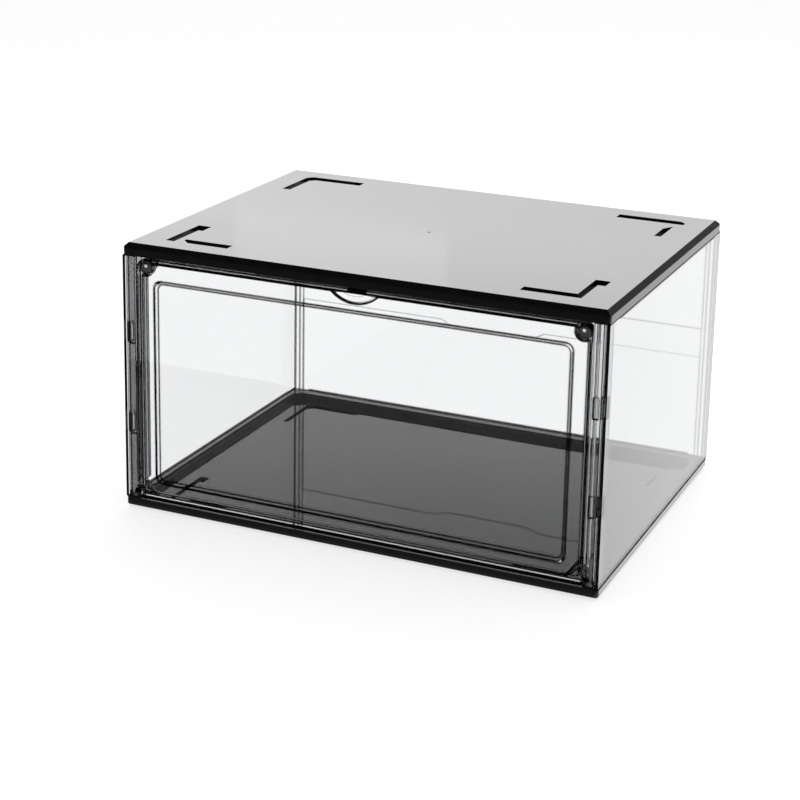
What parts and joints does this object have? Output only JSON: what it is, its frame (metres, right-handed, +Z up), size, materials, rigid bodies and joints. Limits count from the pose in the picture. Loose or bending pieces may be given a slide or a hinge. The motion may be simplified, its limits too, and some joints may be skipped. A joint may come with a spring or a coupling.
{
  "type": "shoe box",
  "caption": "Stackable display shoe box: black base and lid, clear side and back panels, and a clear door that drops forward, held shut by round magnets.",
  "frame": {"origin": "centre of the footprint, on the surface that the stacking feet stand on", "axes": "+X to the viewer's right across the width, -Y towards the door at the front, +Z up"},
  "size_m": [0.365, 0.27, 0.202],
  "materials": {
    "base_black": "gloss black moulded base",
    "lid_black": "gloss black moulded lid",
    "clear_panel": "clear moulded sheet",
    "clear_post": "clear moulded channel",
    "clear_door": "clear moulded door",
    "magnet_nickel": "nickel-plated disc magnet"
  },
  "bodies": {
    "box": {"base_tray": "base_black", "top_lid": "lid_black", "left_side_panel": "clear_panel", "right_side_panel": "clear_panel", "back_panel": "clear_panel", "left_front_post": "clear_post", "right_front_post": "clear_post", "left_strike_magnet": "magnet_nickel", "right_strike_magnet": "magnet_nickel"},
    "door": {"door_panel": "clear_door", "left_door_magnet": "magnet_nickel", "right_door_magnet": "magnet_nickel"}
  },
  "joints": [
    {"name": "door_hinge", "type": "hinge", "parent": "box", "child": "door", "pos_m": [0, -0.133, 0.0142], "axis": [1, 0, 0], "range_deg": [0, 90]}
  ]
}
